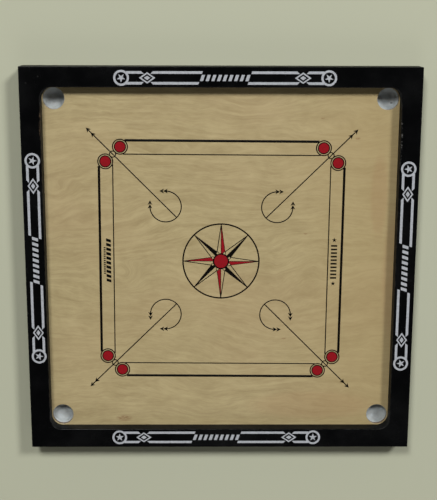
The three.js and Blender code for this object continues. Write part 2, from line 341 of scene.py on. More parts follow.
def length_of(tree, arrow):
    return node_of(tree, "ShaderNodeVectorMath", {0: arrow}, operation="LENGTH").outputs["Value"]


def spot(tree, place, centre, size, soft=1.6):
    """1 inside an oval of that size, fading to 0 at soft times the size."""
    offset = put(tree, "ShaderNodeVectorMath", {0: place, 1: centre}, operation="SUBTRACT")
    scaled = put(tree, "ShaderNodeVectorMath", {0: offset, 1: size}, operation="DIVIDE")
    return ramp(tree, length_of(tree, scaled), 1.0, soft, 1.0, 0.0)


def surface(tree, shader, colour, roughness):
    tree.links.new(colour, shader.inputs["Base Color"])
    tree.links.new(roughness, shader.inputs["Roughness"])


def bump(tree, height, shader, distance, strength=1.0):
    made = node_of(tree, "ShaderNodeBump", {"Height": height, "Distance": distance, "Strength": strength})
    tree.links.new(made.outputs[0], shader.inputs["Normal"])


def black_lacquer():
    """Sprayed black over open-grained hardwood, with rubbed edges, a few knocks and a painted highlight on
    one edge.
    """
    material, tree, shader, place = new_material("black_lacquer")
    black, faded, worn = (0.0016, 0.0017, 0.0019), (0.004, 0.0041, 0.0043), (0.035, 0.034, 0.032)
    cloud = noise(tree, place, 9, 4)
    colour = blend(tree, ramp(tree, cloud, 0.42, 0.7), black, faded)
    # distance along X or Y from the board's middle, whichever is larger, tells how near an edge is
    x, y, height = axes(tree, place)
    across, away = maths(tree, "ABSOLUTE", x), maths(tree, "ABSOLUTE", y)
    out = larger(tree, across, away)
    # the well's edge turns round each pocket
    beyond = [larger(tree, minus(tree, distance, POCKET), 0.0) for distance in (across, away)]
    reach = length_of(tree, vector(tree, *beyond))
    wear_line = WELL_CORNER + 0.3 * EDGE_ROUND
    off_edge = maths(tree, "ABSOLUTE", minus(tree, reach, wear_line))
    near_well = ramp(tree, off_edge, 0.4 * MM, 1.6 * MM, 1.0, 0.0)
    near_outside = ramp(tree, out, OUTER - 1.4 * MM, OUTER - 0.3 * MM, 0.0, 0.5)
    high = ramp(tree, height, RAIL_TOP - 1.6 * MM, RAIL_TOP - 0.3 * MM)
    rubbed = times(tree, larger(tree, near_well, near_outside), high)
    patchy = ramp(tree, noise(tree, place, 60, 5, 0.65), 0.4, 0.72)
    wear = times(tree, rubbed, patchy)
    colour = blend(tree, times(tree, wear, 0.55), colour, worn)
    # a pale broken line of painted highlight along the right rail's inner edge, and chips to bare wood on
    # the left one, both near the back pockets
    chip_and_highlight_breakup = ramp(tree, noise(tree, place, 110, 5, 0.75), 0.5, 0.62)
    painted_edge_highlight = spot(tree, place, (WELL + 1.0 * MM, 0.262, RAIL_TOP), (2.4 * MM, 38 * MM, 3 * MM))
    chips = spot(tree, place, (-WELL - 0.6 * MM, 0.283, RAIL_TOP), (1.8 * MM, 26 * MM, 4 * MM))
    # painted highlight: the pale line on the right rail's rounded inner top edge
    colour = blend(tree, times(tree, painted_edge_highlight, chip_and_highlight_breakup), colour, (0.1, 0.096, 0.09))
    colour = blend(tree, times(tree, chips, chip_and_highlight_breakup), colour, (0.075, 0.05, 0.03))
    # two filled nail heads at the back left corner
    nails = ((-OUTER + 39 * MM, OUTER - 20 * MM), (-OUTER + 14.5 * MM, OUTER - 33 * MM))
    for centre in nails:
        filled = spot(tree, place, (*centre, RAIL_TOP), (1.5 * MM, 1.5 * MM, 6 * MM), 1.25)
        colour = blend(tree, times(tree, filled, 0.8), colour, (0.014, 0.0135, 0.013))
    haze = noise(tree, place, 34, 5, 0.6)
    roughness = ramp(tree, haze, 0.3, 0.75, 0.17, 0.3)
    # the polishing pad never reached the well's walls
    unrubbed = ramp(tree, height, RAIL_TOP - 3 * MM, RAIL_TOP - MM, 0.3, 0.0)
    dull = plus(tree, unrubbed, times(tree, wear, 0.25))
    surface(tree, shader, colour, plus(tree, roughness, dull))
    peel = noise(tree, place, 420, 2)
    pores = noise(tree, place, (90, 90, 500), 3, 0.7)
    relief = plus(tree, peel, times(tree, pores, 0.7))
    bump(tree, relief, shader, 0.03 * MM, 0.5)
    shader.inputs["Specular IOR Level"].default_value = 0.1
    return material


lacquer = black_lacquer()
for quarters, side in enumerate(SIDES):
    rail = cut(make_rail(f"mitred_rail_{side}", quarters), dowel_cutters(quarters))
    fit(smooth(rail), "black_lacquer", lacquer, f"rail_{side}")

# ----------------------------------------
# Corner blocks: small infills of the same hardwood, glued into the well's corners and shaped with the
# frame, so that each runs out to a feather edge against the rails and carries on their rounded edge.
# ----------------------------------------


def make_corner_block(name, quarters):
    """The front right block, turned to its corner."""
    wall = WELL_CORNER - HAIRLINE
    first = math.acos((wall - 0.02 * MM) / WELL_CORNER)  # where the feather edge starts
    steps = 40
    columns = []
    for k in range(steps + 1):
        angle = -math.pi / 2 + first + (math.pi / 2 - 2 * first) * k / steps
        direction = Vector((math.cos(angle), math.sin(angle)))
        reach = wall / max(abs(direction.x), abs(direction.y))
        # the round on the block's edge stops where it meets the rail
        last = math.acos(max(0, 1 - max(0, reach - WELL_CORNER) / EDGE_ROUND))
        inner = [(WELL_CORNER, PANEL_TOP + HAIRLINE)]
        for i in range(ROUND_STEPS + 1):
            turn = last * i / ROUND_STEPS
            radius = WELL_CORNER + EDGE_ROUND * (1 - math.cos(turn))
            inner.append((radius, RAIL_TOP - EDGE_ROUND * (1 - math.sin(turn))))
        loop = [(reach, inner[0][1]), *inner, (reach, inner[-1][1])]
        centre = Vector((POCKET, -POCKET, 0))
        columns.append([centre + Vector((*(direction * r), z)) for r, z in loop])
    rows = len(columns[0])
    vertices = [quarter_turn(quarters) @ v for column in columns for v in column]
    faces = strip_faces(steps + 1, rows, closed=False, looped=True)
    faces.append(list(range(rows)))
    faces.append([rows * steps + i for i in range(rows)])
    return clean(add_mesh(name, vertices, faces))


for quarters, corner in enumerate(CORNERS):
    block = smooth(make_corner_block(f"shaped_corner_block_{corner}", quarters))
    fit(block, "black_lacquer", lacquer, f"corner_block_{corner}")

# ----------------------------------------
# Dowels: fluted beech pins, two across each mitre. They are glued into holes bored in both rails, and
# nothing of them shows once the frame is together.
# ----------------------------------------


def make_dowel(name, centre, direction):
    flutes, around = 12, 48
    half, chamfer = DOWEL_LENGTH / 2, 0.8 * MM
    profile = [(0, -half), (DOWEL_RADIUS - chamfer, -half), (DOWEL_RADIUS, chamfer - half)]
    profile += [(DOWEL_RADIUS, half - chamfer), (DOWEL_RADIUS - chamfer, half), (0, half)]
    dowel = lathe(name, profile, around, centre, direction)
    for vertex in dowel.data.vertices:
        offset = vertex.co - centre
        radial = offset - offset.project(direction)
        if radial.length > DOWEL_RADIUS - chamfer / 2:
            angle = math.atan2(radial.z, radial.cross(Vector((0, 0, 1))).dot(direction))
            groove = 0.25 * MM * (0.5 - 0.5 * math.cos(flutes * angle))
            vertex.co -= radial.normalized() * groove
    return dowel


def beech():
    material, tree, shader, place = new_material("beech")
    grain = noise(tree, place, (120, 120, 900), 4, 0.6)
    fleck = ramp(tree, noise(tree, place, (700, 700, 1600), 2), 0.62, 0.7)
    colour = blend(tree, ramp(tree, grain, 0.35, 0.7), (0.56, 0.36, 0.19), (0.44, 0.26, 0.13))
    colour = blend(tree, times(tree, fleck, 0.5), colour, (0.27, 0.14, 0.07))
    surface(tree, shader, colour, ramp(tree, grain, 0.3, 0.7, 0.55, 0.75))
    bump(tree, grain, shader, 0.06 * MM, 0.5)
    return material


dowel_wood = beech()
for quarters, corner in enumerate(CORNERS):
    for level in ("lower", "upper"):
        direction = dowel_direction(quarters)
        dowel = make_dowel(f"fluted_dowel_{corner}_{level}", dowel_place(corner, level), direction)
        fit(smooth(dowel, 50), "beech", dowel_wood, f"dowel_{corner}_{level}")

# ----------------------------------------
# Playing panel: a sheet of birch plywood with its face veneer rotary cut and its grain across the
# board. It is bored for the pockets, eased round their rims, lacquered, and lies in the rails' rebate.
# ----------------------------------------
PANEL_BOTTOM = panel_low.z
POCKET_RADIUS = 22.2 * MM
RIM_EASE = 0.7 * MM
PLIES = 5
SCREW_HOLE = 1.7 * MM
CUP_SCREWS = [f"cup_screw_{corner}_{i}" for corner in CORNERS for i in (1, 2, 3)]
BATTEN_SCREWS = [f"batten_screw_{side}_{i}" for side in SIDES for i in (1, 2)]


def screw_place(node):
    low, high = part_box(node)
    return (low + high) / 2, low.z, high.z


def screw_cutters(nodes, tip_slack=0.2 * MM, segments=20):
    cutters = []
    for node in nodes:
        middle, bottom, top = screw_place(node)
        profile = [(0, bottom), (SCREW_HOLE, bottom), (SCREW_HOLE, top + tip_slack), (0, top + tip_slack)]
        cutters.append(lathe("screw_hole", profile, segments, (middle.x, middle.y, 0)))
    return cutters


def pocket_cutter(quarters):
    """A bore that opens out in a small round at the panel's face."""
    below, above = PANEL_BOTTOM - MM, PANEL_TOP + MM
    profile = [(0, below), (POCKET_RADIUS, below)]
    for angle in quarter_arc(5):
        radius = POCKET_RADIUS + RIM_EASE * (1 - math.cos(angle))
        profile.append((radius, PANEL_TOP - RIM_EASE * (1 - math.sin(angle))))
    profile += [(POCKET_RADIUS + RIM_EASE, above), (0, above)]
    centre = quarter_turn(quarters) @ Vector((POCKET, -POCKET, 0))
    return lathe("pocket_bore", profile, 96, centre)


def plain_box(name, low, high):
    corners = [(x, y, z) for x in (low[0], high[0]) for y in (low[1], high[1]) for z in (low[2], high[2])]
    faces = [(0, 1, 3, 2), (4, 6, 7, 5), (0, 4, 5, 1), (2, 3, 7, 6), (0, 2, 6, 4), (1, 5, 7, 3)]
    return clean(add_mesh(name, corners, faces))


def veneer_grain(tree, place):
    """The face veneer's figure as a tone, 0 to 1, and its fine fibre. Both follow one flow along X."""
    x, y, height = axes(tree, place)
    drift = noise(tree, place, (1.7, 3.6, 1), 2, 0.45, 0.4)
    waver = noise(tree, place, (12, 17, 1), 2, 0.5, 0.3)
    flow = times_plus(tree, drift, 0.22, y)
    flow = times_plus(tree, waver, 0.026, flow)
    # the figure swirls where the log had two small burls
    burls = (((-0.214, -0.034), (9, 7), 0.034), ((-0.333, 0.148), (8, 5), 0.02))
    for centre, size, rise in burls:
        burl = spot(tree, place, (*centre, PANEL_TOP), (size[0] * MM, size[1] * MM, 1), 6.5)
        flow = times_plus(tree, burl, rise, flow)
    along = vector(tree, x, flow, height)
    growth = noise(tree, along, (5, 88, 1), 3.5, 0.55, 0.3)
    streak = noise(tree, along, (38, 210, 5), 4, 0.65, 0.5)
    fibre = noise(tree, along, (60, 900, 60), 4, 0.65, 0.2)
    cloud = noise(tree, place, (15, 20, 1), 4, 0.6, 0.3)
    # growth lines come and go across the sheet
    patches = ramp(tree, noise(tree, place, (6, 9, 5), 3, 0.6), 0.36, 0.64, 0.35, 1.0)
    lines = times_plus(tree, minus(tree, growth, 0.5), patches, 0.5)
    tone = times_plus(tree, lines, 0.52, times(tree, streak, 0.3))
    tone = times_plus(tree, fibre, 0.24, tone)
    tone = times_plus(tree, cloud, 0.26, tone)
    return tone, fibre


def lacquered_birch():
    material, tree, shader, place = new_material("lacquered_birch")
    tone, fibre = veneer_grain(tree, place)
    pale, dark = (0.46, 0.375, 0.20), (0.31, 0.24, 0.118)
    colour = blend(tree, ramp(tree, tone, 0.47, 0.86), pale, dark)
    # broad warm and cool drifts, painted shade towards the right rail, and a few dark patches: a stain that
    # came up through the lacquer, and painted shade along the right rail
    warm = ramp(tree, noise(tree, place, (2.2, 4.5, 1), 3), 0.4, 0.72)
    colour = blend(tree, times(tree, warm, 0.35), colour, (0.40, 0.29, 0.155))
    x, _, height = axes(tree, place)
    # painted shade: the wood is darker and warmer towards the right rail
    painted_shade_right = ramp(tree, x, 0.1, 0.36, 0.0, 0.45)
    colour = blend(tree, painted_shade_right, colour, (0.36, 0.265, 0.118))
    # the two long bands by the right rail are painted shade; the patch near the front is a stain
    stain_and_shade_patches = (((0.362, -0.03), (14, 90)), ((0.2, -0.32), (90, 22)), ((0.33, 0.14), (12, 60)))
    for centre, size in stain_and_shade_patches:
        dark_patch = spot(tree, place, (*centre, PANEL_TOP), (size[0] * MM, size[1] * MM, 1), 1.8)
        colour = blend(tree, times(tree, dark_patch, 0.3), colour, (0.33, 0.2, 0.095))
    # a few pin knots, and a larger reddish one near the front left pocket
    ragged = ramp(tree, noise(tree, place, (150, 420, 1), 4, 0.65), 0.34, 0.6)
    knots = (((0.209, 0.302), 2.4), ((0.282, 0.26), 3), ((0.178, 0.06), 2.2), ((0.136, -0.169), 2.6),
             ((-0.208, -0.35), 9))
    for centre, length in knots:
        knot = spot(tree, place, (*centre, PANEL_TOP), (length * MM, 0.4 * length * MM, 1), 2.4)
        dark_heart = times(tree, times(tree, knot, ragged), 0.62)
        colour = blend(tree, dark_heart, colour, (0.19, 0.085, 0.035))
    # the plies show in the bores and round the panel's edge
    facing = axes(tree, tree.nodes.new("ShaderNodeNewGeometry").outputs["Normal"])
    sideways = ramp(tree, maths(tree, "ABSOLUTE", facing[2]), 0.25, 0.6, 1.0, 0.0)
    depth = maths(tree, "DIVIDE", minus(tree, height, PANEL_BOTTOM), PANEL_TOP - PANEL_BOTTOM)
    ply = maths(tree, "FRACT", times(tree, depth, PLIES / 2))
    layer = ramp(tree, ply, 0.46, 0.52)
    end_grain = noise(tree, place, (500, 500, 90), 3, 0.6)
    edge = blend(tree, layer, (0.24, 0.15, 0.07), (0.11, 0.062, 0.028))
    edge = blend(tree, ramp(tree, end_grain, 0.4, 0.7, 0.0, 0.5), edge, (0.05, 0.028, 0.014))
    colour = blend(tree, sideways, colour, edge)
    scratch = noise(tree, place, (14, 320, 40), 4, 0.7)
    surface(tree, shader, colour, ramp(tree, scratch, 0.3, 0.75, 0.3, 0.46))
    shader.inputs["Coat Weight"].default_value = 0.35
    shader.inputs["Coat Roughness"].default_value = 0.22
    bump(tree, fibre, shader, 0.02 * MM, 0.5)
    return material


birch = lacquered_birch()
panel = plain_box("birch_playing_panel", panel_low, panel_high)
cut(panel, [pocket_cutter(quarters) for quarters in range(4)] + screw_cutters(CUP_SCREWS))
fit(smooth(panel), "lacquered_plywood", birch, "playing_panel")

# ----------------------------------------
# Playing field: lines, base circles, arrows and the centre star, screen-printed on the veneer in black
# and red before the lacquer goes on. Each ink is a film that stands very slightly proud of the wood.
# ----------------------------------------
PRINT_CENTRE = Vector((1.0 * MM, 0.8 * MM, 0))  # the screen was laid a little off the panel's middle
PRINT_TURN = math.radians(-0.33)  # and not quite square to it
INK_SINK = 0.04 * MM
LAYER = 0.02 * MM  # between the levels of two inks that cross
CIRCLE_POINTS = 64


def level(count=0):
    """How thick a film is, to stand that many layers above the lowest print."""
    return INK_SINK + INK_FILM + count * LAYER


def film(tree, outlines, thickness):
    """A closed sheet of ink inside flat outlines. An outline inside another leaves a hole."""
    flat = put(tree, "GeometryNodeFillCurve", {"Curve": outlines}, mode="NGONS")
    inputs = {"Mesh": flat, "Offset Scale": thickness, "Individual": False}
    raised = put(tree, "GeometryNodeExtrudeMesh", inputs, mode="FACES")
    under = put(tree, "GeometryNodeFlipFaces", {"Mesh": flat})
    both = joined(tree, raised, under)
    return put(tree, "GeometryNodeMergeByDistance", {"Geometry": both, "Distance": 0.001 * MM})


def joined(tree, *parts):
    join = tree.nodes.new("GeometryNodeJoinGeometry")
    for part in parts:
        tree.links.new(part, join.inputs[0])
    return join.outputs[0]


def moved(tree, geometry, x=0.0, y=0.0, z=0.0, turn=0.0):
    """The geometry turned about Z, then moved."""
    inputs = {"Geometry": geometry, "Translation": vector(tree, x, y, z), "Rotation": (0, 0, turn)}
    return put(tree, "GeometryNodeTransform", inputs)


def circle(tree, radius, points):
    inputs = {"Resolution": points, "Radius": radius}
    return put(tree, "GeometryNodeCurvePrimitiveCircle", inputs, mode="RADIUS")


def four_points(tree, *points):
    """A closed outline through four points."""
    inputs = {f"Point {i}": point for i, point in enumerate(points, 1)}
    return put(tree, "GeometryNodeCurvePrimitiveQuadrilateral", inputs, mode="POINTS")


def straight(tree, start, end):
    return put(tree, "GeometryNodeCurvePrimitiveLine", {"Start": start, "End": end})


def stroke(tree, line, width, thickness):
    """A line drawn with a flat pen, its underside on the drawing's plane."""
    inputs = {"Width": width, "Height": thickness}
    pen = put(tree, "GeometryNodeCurvePrimitiveQuadrilateral", inputs, mode="RECTANGLE")
    level = put(tree, "GeometryNodeSetCurveNormal", {"Curve": line}, mode="Z_UP")
    inputs = {"Curve": level, "Profile Curve": pen, "Fill Caps": True}
    drawn = put(tree, "GeometryNodeCurveToMesh", inputs)
    return moved(tree, drawn, z=times(tree, thickness, 0.5))


def arrowhead(tree, size, thickness):
    """A barbed head that points along X, with its tip at the origin. Size is its length."""
    notch_share, barb_share = -0.72, 0.52
    back = times(tree, size, -1.0)
    left, right = (vector(tree, back, times(tree, size, side * barb_share)) for side in (1, -1))
    notch = vector(tree, times(tree, size, notch_share))
    return film(tree, four_points(tree, (0, 0, 0), left, notch, right), thickness)


def ink(name, colour, thin, speckle=0.0, roughness=0.42):
    """Screen ink: even from a distance, thinner where the fibre stood up under the screen."""
    material, tree, shader, place = new_material(name)
    fibre = noise(tree, place, (26, 900, 60), 4, 0.6, 0.2)
    mottle = noise(tree, place, 300, 3, 0.6)
    bare = ramp(tree, plus(tree, fibre, times(tree, mottle, 0.5)), 0.82, 1.05)
    shade = blend(tree, ramp(tree, mottle, 0.3, 0.7), colour, tuple(0.8 * c for c in colour))
    shade = blend(tree, times(tree, bare, 0.5 + speckle), shade, thin)
    surface(tree, shader, shade, ramp(tree, mottle, 0.3, 0.7, roughness - 0.08, roughness + 0.08))
    shader.inputs["Specular IOR Level"].default_value = 0.08
    bump(tree, mottle, shader, 0.01 * MM, 0.5)
    return material


black_ink = ink("black_ink", (0.003, 0.0022, 0.0015), (0.02, 0.014, 0.007))
red_ink = ink("red_ink", (0.265, 0.0075, 0.0125), (0.19, 0.022, 0.015))
FIELD = PANEL_TOP - INK_SINK


def stamp(name, motif, sizes, places, slot="black_ink", material=black_ink, base=FIELD,
          centre=PRINT_CENTRE, askew=PRINT_TURN, nodes=()):
    """Repeats a motif at places, each (x, y, turn), and makes the result one plain piece.
    The motif is a function that builds it in a tree, from named sizes."""
    tree = bpy.data.node_groups.new(name, "GeometryNodeTree")
    face = tree.interface
    face.new_socket("Places", in_out="INPUT", socket_type="NodeSocketGeometry")
    sockets = {}
    for label in sizes:
        sockets[label] = face.new_socket(label, in_out="INPUT", socket_type="NodeSocketFloat")
    face.new_socket("Print", in_out="OUTPUT", socket_type="NodeSocketGeometry")
    given = tree.nodes.new("NodeGroupInput").outputs
    turn = put(tree, "GeometryNodeInputNamedAttribute", {"Name": "turn"}, data_type="FLOAT")
    inputs = {"Points": given["Places"], "Instance": motif(tree, given)}
    inputs["Rotation"] = vector(tree, 0.0, 0.0, turn)
    copies = put(tree, "GeometryNodeInstanceOnPoints", inputs)
    real = put(tree, "GeometryNodeRealizeInstances", {0: copies})
    inked = put(tree, "GeometryNodeSetMaterial", {"Geometry": real, "Material": material})
    tree.links.new(inked, tree.nodes.new("NodeGroupOutput").inputs[0])
    skew = Matrix.Rotation(askew, 4, "Z")
    points = [centre + skew @ Vector((x, y, base)) for x, y, _ in places]
    piece = add_mesh(name, points, [])
    turns = piece.data.attributes.new("turn", "FLOAT", "POINT")
    turns.data.foreach_set("value", [turn + askew for _, _, turn in places])
    maker = piece.modifiers.new("maker", "NODES")
    maker.node_group = tree
    for label, value in sizes.items():
        maker[sockets[label].identifier] = value
    return fit(settle(piece), slot, material, *nodes)


EIGHTHS = [math.pi / 4 * i for i in range(8)]


def from_corner(places):
    """Places for one corner or side of the board, each (x, y, turn), repeated at all four."""
    spread = []
    for quarters in range(4):
        for x, y, turn in places:
            point = quarter_turn(quarters) @ Vector((x, y, 0))
            spread.append((point.x, point.y, turn + math.pi / 2 * quarters))
    return spread


def around(radius, angles):
    return [(radius * math.cos(a), radius * math.sin(a), a) for a in angles]


# the two base lines along each side
BASE_NEAR, BASE_FAR = 209.9 * MM, 240.5 * MM
BASE_RADIUS = 16.5 * MM


def side_line(tree, size):
    ends = [vector(tree, times(tree, size["Length"], share)) for share in (-0.5, 0.5)]
    return stroke(tree, straight(tree, *ends), size["Width"], size["Film"])


for name, out, width, short in (("thick", 253.8, 5.2, 9.4), ("thin", 225.3, 2.3, 6.0)):
    sizes = {"Length": 2 * (BASE_NEAR - short * MM), "Width": width * MM, "Film": level()}
    stamp(f"print_{name}_lines", side_line, sizes, from_corner([(0, out * MM, 0)]))


def ring(tree, size, points=CIRCLE_POINTS):
    inner = minus(tree, size["Radius"], size["Width"])
    outlines = [circle(tree, radius, points) for radius in (size["Radius"], inner)]
    return film(tree, joined(tree, *outlines), size["Film"])


def disc(tree, size):
    return film(tree, circle(tree, size["Radius"], CIRCLE_POINTS), size["Film"])


DISC_RADIUS = 10.8 * MM
CORNER_RING = (BASE_NEAR + BASE_FAR) / 2
base_places = from_corner([(BASE_NEAR, BASE_FAR, 0), (BASE_FAR, BASE_NEAR, 0)])
for name, radius, width in (("outer", BASE_RADIUS, 2.4 * MM), ("inner", DISC_RADIUS + 1.8 * MM, 2.1 * MM)):
    sizes = {"Radius": radius, "Width": width, "Film": level(1)}
    stamp(f"print_base_rings_{name}", ring, sizes, base_places)
sizes = {"Radius": DISC_RADIUS - 0.15 * MM, "Film": level()}
stamp("print_base_discs", disc, sizes, base_places, "red_ink", red_ink)
sizes = {"Radius": 7.3 * MM, "Width": 2.1 * MM, "Film": level(1)}
stamp("print_corner_rings", ring, sizes, from_corner([(CORNER_RING, CORNER_RING, 0)]))


# the arrows that run out along the diagonals
def diagonal_arrow(tree, size):
    """Along X from the board's middle: a thin shaft with two heads at its end."""
    shaft = straight(tree, vector(tree, size["Start"]), vector(tree, size["Shaft end"]))
    head = arrowhead(tree, size["Head"], size["Film"])
    heads = [moved(tree, head, size[label]) for label in ("First tip", "Second tip")]
    return joined(tree, stroke(tree, shaft, size["Width"], size["Film"]), *heads)


# each of these is given along X, and so along Y too
along_axis = {"Start": 93.4 * MM, "Shaft end": 274 * MM, "First tip": 279.5 * MM, "Second tip": 269.6 * MM}
sizes = {label: distance * math.sqrt(2) for label, distance in along_axis.items()}
sizes |= {"Head": 10 * MM, "Width": 2.3 * MM, "Film": level(2)}
stamp("print_diagonal_arrows", diagonal_arrow, sizes, around(0, EIGHTHS[1::2]))


# the curved arrows, open towards the corner
def curved_arrow(tree, size):
    inputs = {"Resolution": 72, "Radius": size["Radius"], "Start Angle": math.pi / 2}
    inputs["Sweep Angle"] = 1.5 * math.pi
    arc = put(tree, "GeometryNodeCurveArc", inputs, mode="RADIUS")
    head = arrowhead(tree, size["Head"], size["Film"])
    parts = [stroke(tree, arc, size["Width"], size["Film"])]
    for label in ("First tip", "Second tip"):
        parts.append(moved(tree, head, size[label], size["Radius"]))
        parts.append(moved(tree, head, size["Radius"], size[label], turn=math.pi / 2))
    return joined(tree, *parts)


ARC_CENTRE = 116.3 * MM
sizes = {"Radius": 32.6 * MM, "Head": 9.8 * MM, "First tip": 13 * MM, "Second tip": 5.2 * MM,
         "Width": 2.3 * MM, "Film": level(1)}
stamp("print_curved_arrows", curved_arrow, sizes, from_corner([(ARC_CENTRE, ARC_CENTRE, 0)]))

# the centre circle and its star, each point half filled on its clockwise side
STAR_TIP, STAR_VALLEY, STAR_HUB = 79.8 * MM, 22.0 * MM, 15.7 * MM
HALF_POINT = math.pi / 8  # from a star point's middle to the valley beside it
HUB_RINGS_OUT = 18.6 * MM


def large_ring(tree, size):
    return ring(tree, size, points=160)


def on_valley(tree, radius, side):
    """A point at that radius on the line between two star points."""
    x = times(tree, radius, math.cos(HALF_POINT))
    return vector(tree, x, times(tree, radius, side * math.sin(HALF_POINT)))


def filled_half(tree, size):
    """The clockwise half of a star point that lies along X."""
    outline = four_points(tree, vector(tree, size["Hub"]), on_valley(tree, size["Hub"], -1),
                          on_valley(tree, size["Valley"], -1), vector(tree, size["Tip"]))
    return film(tree, outline, size["Film"])


def point_outline(tree, size):
    """Three lines to the tip: round the filled half, and along the open side."""
    tip = vector(tree, size["Tip"])
    starts = ((on_valley(tree, size["Valley"], -1), "Filled side"),
              (vector(tree, size["Hub"]), "Filled side"),
              (on_valley(tree, size["Valley"], 1), "Open side"))
    return joined(tree, *[stroke(tree, straight(tree, start, tip), size[width], size["Film"])
                          for start, width in starts])


middle = [(0, 0, 0)]
hub_places = around(HUB_RINGS_OUT, [angle + HALF_POINT for angle in EIGHTHS])
stamp("print_centre_circle", large_ring, {"Radius": 81.5 * MM, "Width": 3.1 * MM, "Film": level(2)}, middle)
star = {"Hub": STAR_HUB, "Valley": STAR_VALLEY, "Tip": STAR_TIP}
sizes = star | {"Film": level()}
stamp("print_star_black", filled_half, sizes, around(0, EIGHTHS[1::2]))
stamp("print_star_red", filled_half, sizes, around(0, EIGHTHS[0::2]), "red_ink", red_ink)
sizes = star | {"Filled side": 1.2 * MM, "Open side": 1.8 * MM, "Film": level(1)}
stamp("print_star_outlines", point_outline, sizes, around(0, EIGHTHS))
stamp("print_hub_ring", ring, {"Radius": 17.2 * MM, "Width": 2.9 * MM, "Film": level(2)}, middle)
stamp("print_hub_disc", disc, {"Radius": 14.6 * MM, "Film": level(1)}, middle, "red_ink", red_ink)
stamp("print_hub_rings", ring, {"Radius": 3.3 * MM, "Width": 1.4 * MM, "Film": level(2)}, hub_places)
sizes = {"Radius": 2.1 * MM, "Film": level(3)}  # pale, as the wood is
stamp("print_hub_dots", disc, sizes, hub_places, "lacquered_plywood", birch)


# plain ornaments between the base lines, at the middle of the left and right sides
def slanted_bar(tree, size):
    """A parallelogram that leans along X, centred on the origin."""
    half, lean, top = (times(tree, size[label], 0.5) for label in ("Bar", "Lean", "Height"))
    corners = []
    for side in (1.0, -1.0):
        for x in (plus(tree, half, lean), minus(tree, lean, half)):
            corners.append(vector(tree, times(tree, x, side), times(tree, top, side)))
    return film(tree, four_points(tree, *corners), size["Film"])


STAR_WAIST = 0.382  # a five-pointed star's inner radius, as a share of its outer one


def small_star(tree, size):
    inputs = {"Points": 5, "Outer Radius": size["Star"]}
    inputs["Inner Radius"] = times(tree, size["Star"], STAR_WAIST)
    return film(tree, put(tree, "GeometryNodeCurveStar", inputs), size["Film"])


def row(count, pitch, turn=0.0, x=0.0, y=0.0):
    """Places on a line through (x, y) that runs along the turned X axis, centred on it."""
    spots = []
    for i in range(count):
        along = pitch * (i - (count - 1) / 2)
        spots.append((x + along * math.cos(turn), y + along * math.sin(turn), turn))
    return spots


UPRIGHT, DOWNWARD = math.pi / 2, -math.pi / 2
RIGHT_MARK = 237.6 * MM  # from the board's middle
marks = (("left_mark", 6.2, 3, 10, row(10, 9.6 * MM, DOWNWARD, -236.2 * MM)),
         ("left_small_mark", 2.6, 0, 4, row(13, 4.6 * MM, DOWNWARD, -244.6 * MM)),
         ("right_mark", 3.6, 0, 13, row(10, 7.7 * MM, UPRIGHT, RIGHT_MARK)))
for name, bar, lean, height, places in marks:
    sizes = {"Bar": bar * MM, "Lean": lean * MM, "Height": height * MM, "Film": level()}
    stamp(f"print_{name}", slanted_bar, sizes, places)
right_stars = row(2, 94 * MM, UPRIGHT, RIGHT_MARK)
stamp("print_right_stars", small_star, {"Star": 5.4 * MM, "Film": level()}, right_stars)

# ----------------------------------------
# Frame print: the same strip of ornament on each rail, screened in silver on the black. It is a star in
# a ring at each end, twin stripes broken by a lozenge, and a row of slanted bars in the middle.
# ----------------------------------------
RAIL_MIDDLE = 384.2 * MM  # from the board's middle to the print's centreline
PRINT_SHIFT = -8 * MM  # along the front rail
RING_OUT = 208.7 * MM
LOZENGE_OUT = 156.5 * MM
LOZENGE_SCALES = (1.0, 0.7, 0.38)  # its outline, the hole in it, and its heart
GAP_LEAN = 0.34  # of the stripes' ends at the middle gap
silver_ink = ink("silver_ink", (0.405, 0.42, 0.45), (0.1, 0.1, 0.11), 0.1, 0.5)
on_rails = from_corner([(PRINT_SHIFT, -RAIL_MIDDLE, 0)])


def frame_stamp(name, motif, sizes, places=on_rails):
    base = RAIL_TOP - INK_SINK
    stamp(f"rail_print_{name}", motif, sizes, places, "silver_ink", silver_ink, base, Vector(), 0.0)


def end_rings(tree, size):
    band, star_inside = ring(tree, size), small_star(tree, size)
    parts = []
    for side in (-1, 1):
        out = times(tree, size["Out"], side)
        parts.append(moved(tree, band, out))
        parts.append(moved(tree, star_inside, out, turn=UPRIGHT))
    return joined(tree, *parts)


def stripes(tree, size):
    """Twin stripes between ring and lozenge, and between lozenge and the middle gap."""
    parts = []
    for side in (-1, 1):
        for row_side in (-1, 1):
            middle = times(tree, size["Spacing"], 0.5 * row_side)
            far = times_plus(tree, size["Width"], 0.5 * row_side, middle)
            near = times_plus(tree, size["Width"], -0.5 * row_side, middle)
            for start, end in (("Ring end", "Lozenge far"), ("Lozenge near", "Gap")):
                corners = []
                for label, edge in ((start, far), (end, far), (end, near), (start, near)):
                    x = times(tree, size[label], side)
                    if label == "Gap":
                        x = times_plus(tree, edge, GAP_LEAN, x)
                    elif label != "Ring end":
                        # cut at 45 degrees, to run beside the lozenge
                        away = side if label == "Lozenge far" else -side
                        rise = times(tree, edge, row_side * away)
                        x = plus(tree, x, rise)
                    corners.append(vector(tree, x, edge))
                parts.append(film(tree, four_points(tree, *corners), size["Film"]))
    return joined(tree, *parts)


def lozenges(tree, size):
    parts = []
    for side in (-1, 1):
        out = times(tree, size["Out"], side)
        outlines = []
        for scale in LOZENGE_SCALES:
            wide, tall = (times(tree, size[label], scale) for label in ("Half length", "Half height"))
            back, low = times(tree, wide, -1.0), times(tree, tall, -1.0)
            outlines.append(four_points(tree, vector(tree, wide), vector(tree, 0.0, tall),
                                        vector(tree, back), vector(tree, 0.0, low)))
        border = film(tree, joined(tree, *outlines[:2]), size["Film"])
        heart = film(tree, outlines[2], size["Film"])
        parts.append(moved(tree, joined(tree, border, heart), out))
    return joined(tree, *parts)


